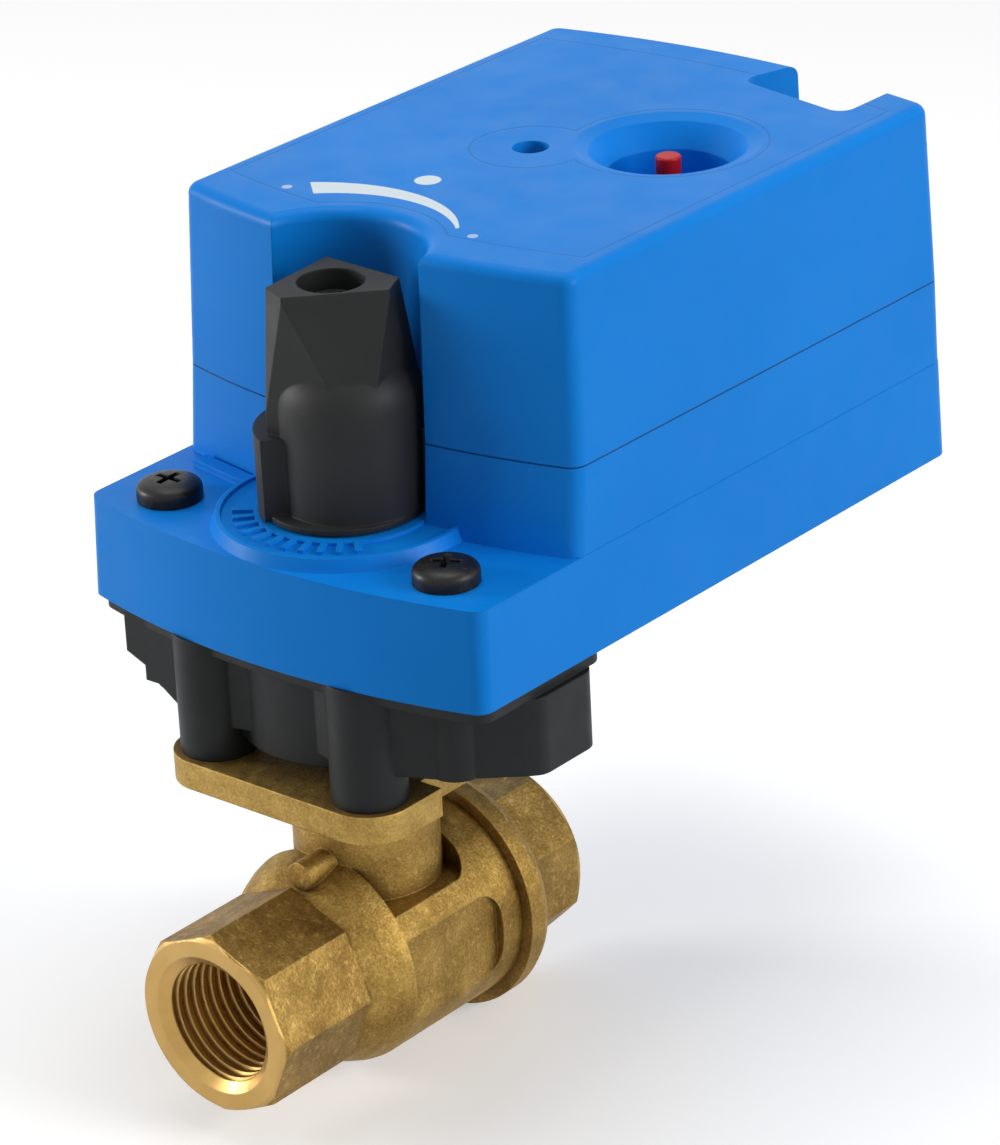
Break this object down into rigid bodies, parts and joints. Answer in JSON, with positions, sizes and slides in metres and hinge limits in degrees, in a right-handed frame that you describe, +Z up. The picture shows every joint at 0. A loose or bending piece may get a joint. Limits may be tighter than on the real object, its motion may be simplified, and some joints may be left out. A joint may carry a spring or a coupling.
{
  "type": "motorized ball valve",
  "caption": "Two-way brass ball valve with threaded ports, a black mounting bracket and a blue quarter-turn electric actuator with a pointed handle and a red release button.",
  "frame": {"origin": "centre of the ball, where the pipe axis crosses the stem axis", "axes": "+Z up the stem towards the handle, +Y along the pipe from the inlet to the outlet end piece, +X to the right seen from the inlet"},
  "size_m": [0.0764, 0.1384, 0.1291],
  "materials": {
    "brass": "rough cast with machined faces",
    "blue_plastic": "satin moulded plastic",
    "black_plastic": "matt moulded plastic",
    "black_screw": "black coated steel",
    "steel": "bright steel",
    "chrome": "polished plating",
    "white_seal": "smooth white seat plastic",
    "rubber": "matt rubber",
    "gear_plastic": "natural gear plastic",
    "bush_plastic": "dark bearing plastic",
    "red_plastic": "glossy red plastic",
    "white_plastic": "matt white plastic",
    "board": "green board with copper tracks",
    "green_plastic": "matt green plastic",
    "capacitor_sleeve": "shrunk sleeve",
    "motor_can": "drawn steel can"
  },
  "bodies": {
    "valve_and_housing": {"valve_body": "brass", "end_connector": "brass", "body_seal": "white_seal", "inlet_seat": "white_seal", "outlet_seat": "white_seal", "thrust_washer": "white_seal", "mounting_bracket": "black_plastic", "bracket_screws": "steel", "housing_base": "blue_plastic", "housing_cover": "blue_plastic", "cover_screws": "steel", "flange_screws": "black_screw", "lower_bush": "bush_plastic", "upper_bush": "bush_plastic", "first_shaft": "steel", "clutch_shaft": "steel", "clutch_spring": "steel", "gear_plate": "steel", "plate_pillars": "steel", "plate_screws": "steel", "motor": "motor_can", "motor_screws": "steel", "circuit_board": "board", "board_pillars": "black_plastic", "board_screws": "steel", "terminal_block": "green_plastic", "terminal_screws": "steel", "selector_body": "black_plastic", "capacitors": "capacitor_sleeve", "relay": "white_plastic"},
    "output_drive": {"ball": "chrome", "stem": "brass", "stem_rings": "rubber", "drive_coupler": "steel", "output_hub": "black_plastic", "handle": "black_plastic", "handle_screw": "black_screw", "output_gear": "steel"},
    "first_reduction": {"first_gear": "gear_plastic"},
    "release": {"release_button": "red_plastic", "clutch_bush": "bush_plastic"},
    "clutch_reduction": {"clutch_gear": "gear_plastic"},
    "motor_rotor": {"motor_pinion": "steel"},
    "selector": {"selector_dial": "white_plastic"}
  },
  "joints": [
    {"name": "output_turn", "type": "hinge", "parent": "valve_and_housing", "child": "output_drive", "pos_m": [0, 0, 0], "axis": [0, 0, 1], "range_deg": [-90, 0]},
    {"name": "first_gear_turn", "type": "hinge", "parent": "valve_and_housing", "child": "first_reduction", "pos_m": [0.00367, 0.03581, 0.06], "axis": [0, 0, 1], "range_deg": [0, 450]},
    {"name": "button_press", "type": "slide", "parent": "valve_and_housing", "child": "release", "axis": [0, 0, -1], "range_m": [0, 0.003], "stiffness_N_per_m": 400, "springref_m": -0.003, "deforming": ["clutch_spring"]},
    {"name": "clutch_gear_turn", "type": "hinge", "parent": "release", "child": "clutch_reduction", "pos_m": [0.0139, 0.0608, 0.067], "axis": [0, 0, 1], "range_deg": [-1575, 0]},
    {"name": "motor_turn", "type": "hinge", "parent": "valve_and_housing", "child": "motor_rotor", "pos_m": [-0.00959, 0.05225, 0.07], "axis": [0, 0, 1], "range_deg": [0, 4988]},
    {"name": "selector_turn", "type": "hinge", "parent": "valve_and_housing", "child": "selector", "pos_m": [-0.0024, 0.0484, 0.1], "axis": [0, 0, 1], "range_deg": [-135, 135]}
  ],
  "couplings": [
    {"joint": "first_gear_turn", "follows": "output_turn", "ratio": -5},
    {"joint": "clutch_gear_turn", "follows": "output_turn", "ratio": 17.5},
    {"joint": "motor_turn", "follows": "output_turn", "ratio": -55.417}
  ]
}
